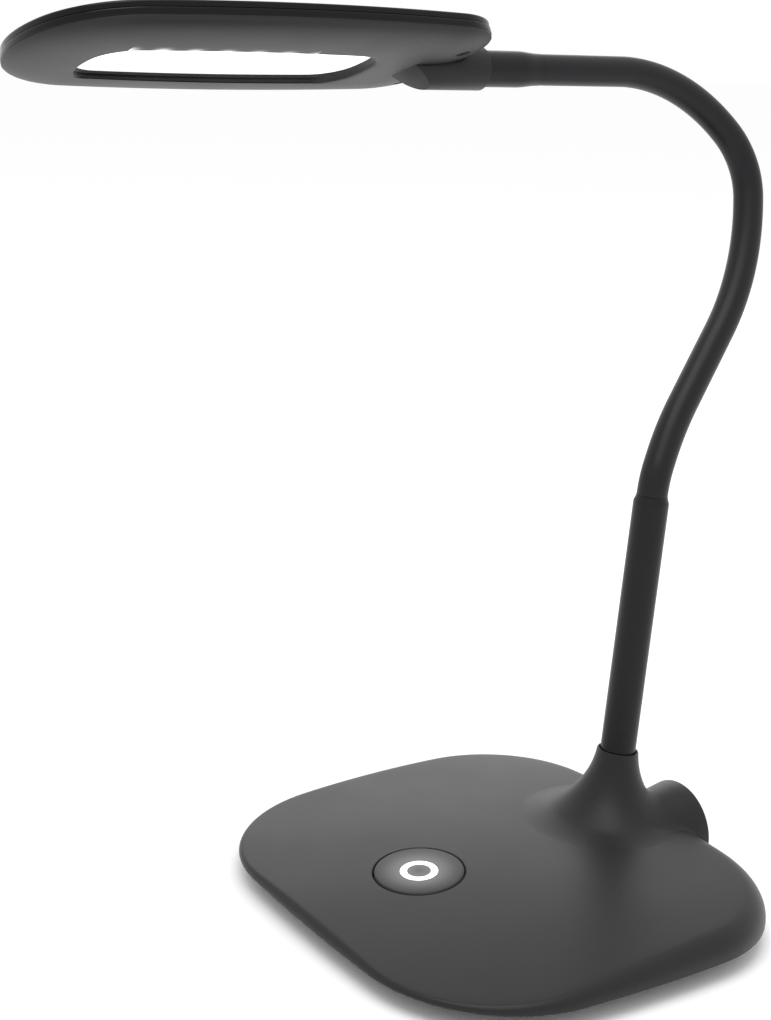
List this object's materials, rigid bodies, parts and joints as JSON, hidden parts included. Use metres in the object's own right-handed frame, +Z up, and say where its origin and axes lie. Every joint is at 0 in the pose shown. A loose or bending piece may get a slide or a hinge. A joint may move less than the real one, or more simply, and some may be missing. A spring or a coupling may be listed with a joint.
{
  "type": "gooseneck desk lamp",
  "caption": "desk lamp with a thin rounded rectangular head on a flexible gooseneck, a pillow-shaped weighted base and a lit round push button",
  "frame": {"origin": "middle of the footprint at table level, under the middle one of the five rubber feet", "axes": "+Z up, the head reaches towards -Y, the power inlet faces +Y, +X is the lamp's left side"},
  "size_m": [0.1867, 0.3257, 0.3347],
  "materials": {
    "soft_black": "soft-touch, slightly grey",
    "gloss_black": "polished",
    "dark_plastic": "fine texture",
    "grey_plastic": "fine texture",
    "neck_rubber": "satin",
    "foot_rubber": "matt",
    "sleeve_metal": "satin black",
    "steel": "bright zinc",
    "ballast_iron": "rough",
    "board_green": "solder mask",
    "lead_black": "insulation",
    "contact_brass": "plated",
    "light_white": "lit, opal",
    "clear_guide": "moulded acrylic",
    "white_film": "reflective film",
    "led_body": "lit"
  },
  "bodies": {
    "base": {"base_shell": "soft_black", "base_plate": "dark_plastic", "rubber_feet": "foot_rubber", "base_screws": "steel", "ballast_plate": "ballast_iron", "tact_switch": "dark_plastic", "control_board": "board_green", "ring_leds": "led_body", "driver_chip": "dark_plastic", "board_posts": "dark_plastic", "board_screws": "steel", "dc_jack": "dark_plastic", "jack_pin": "contact_brass", "jack_bracket": "steel", "lower_sleeve": "sleeve_metal", "neck_washer": "steel", "neck_nut": "steel", "neck_link_0": "steel", "neck_leads_0": "lead_black"},
    "button": {"button_cap": "dark_plastic", "button_light_ring": "light_white", "switch_plunger": "dark_plastic"},
    "neck_1": {"neck_link_1": "steel", "neck_leads_1": "lead_black", "neck_skin_1": "neck_rubber"},
    "neck_2": {"neck_link_2": "steel", "neck_leads_2": "lead_black", "neck_skin_2": "neck_rubber"},
    "neck_3": {"neck_link_3": "steel", "neck_leads_3": "lead_black", "neck_skin_3": "neck_rubber"},
    "neck_4": {"neck_link_4": "steel", "neck_leads_4": "lead_black", "neck_skin_4": "neck_rubber"},
    "neck_5": {"neck_link_5": "steel", "neck_leads_5": "lead_black", "neck_skin_5": "neck_rubber"},
    "neck_6": {"neck_link_6": "steel", "neck_leads_6": "lead_black", "neck_skin_6": "neck_rubber", "upper_sleeve": "sleeve_metal", "swivel_clip": "steel"},
    "head": {"arm_block": "soft_black", "arm_screws": "steel", "head_shell": "grey_plastic", "head_rim": "gloss_black", "head_cover": "gloss_black", "light_diffuser": "light_white", "light_guide": "clear_guide", "light_reflector": "white_film", "led_strip": "board_green", "leds": "led_body", "head_screws": "steel", "head_leads": "lead_black"}
  },
  "joints": [
    {"name": "bend_1", "type": "hinge", "parent": "base", "child": "neck_1", "pos_m": [-0.00419, 0.07901, 0.1718], "axis": [0.9537, 0, 0.3007], "range_deg": [-25, 14], "deforming": ["neck_skin_1"]},
    {"name": "side_1", "type": "hinge", "parent": "neck_1", "child": "neck_2", "pos_m": [-0.01457, 0.10836, 0.20471], "axis": [-0.2008, -0.7443, 0.6369], "range_deg": [-25, 25], "deforming": ["neck_skin_2"]},
    {"name": "bend_2", "type": "hinge", "parent": "neck_2", "child": "neck_3", "pos_m": [-0.02565, 0.1344, 0.23985], "axis": [0.9537, 0, 0.3007], "range_deg": [-25, 14], "deforming": ["neck_skin_3"]},
    {"name": "bend_3", "type": "hinge", "parent": "neck_3", "child": "neck_4", "pos_m": [-0.03879, 0.14102, 0.28152], "axis": [0.9537, 0, 0.3007], "range_deg": [-25, 14], "deforming": ["neck_skin_4"]},
    {"name": "side_2", "type": "hinge", "parent": "neck_4", "child": "neck_5", "pos_m": [-0.04763, 0.10793, 0.30955], "axis": [0.2792, -0.3714, -0.8855], "range_deg": [-25, 25], "deforming": ["neck_skin_5"]},
    {"name": "bend_4", "type": "hinge", "parent": "neck_5", "child": "neck_6", "pos_m": [-0.04911, 0.06322, 0.31426], "axis": [0.9537, 0, 0.3007], "range_deg": [-25, 14], "deforming": ["neck_skin_6"]},
    {"name": "head_swivel", "type": "hinge", "parent": "neck_6", "child": "head", "pos_m": [-0.04911, 0.01255, 0.31426], "axis": [0, -1, 0], "range_deg": [-45, 45]},
    {"name": "button_press", "type": "slide", "parent": "base", "child": "button", "axis": [0, 0.1039, -0.9946], "range_m": [0, 0.0008], "stiffness_N_per_m": 1500, "springref_m": -0.0004}
  ]
}
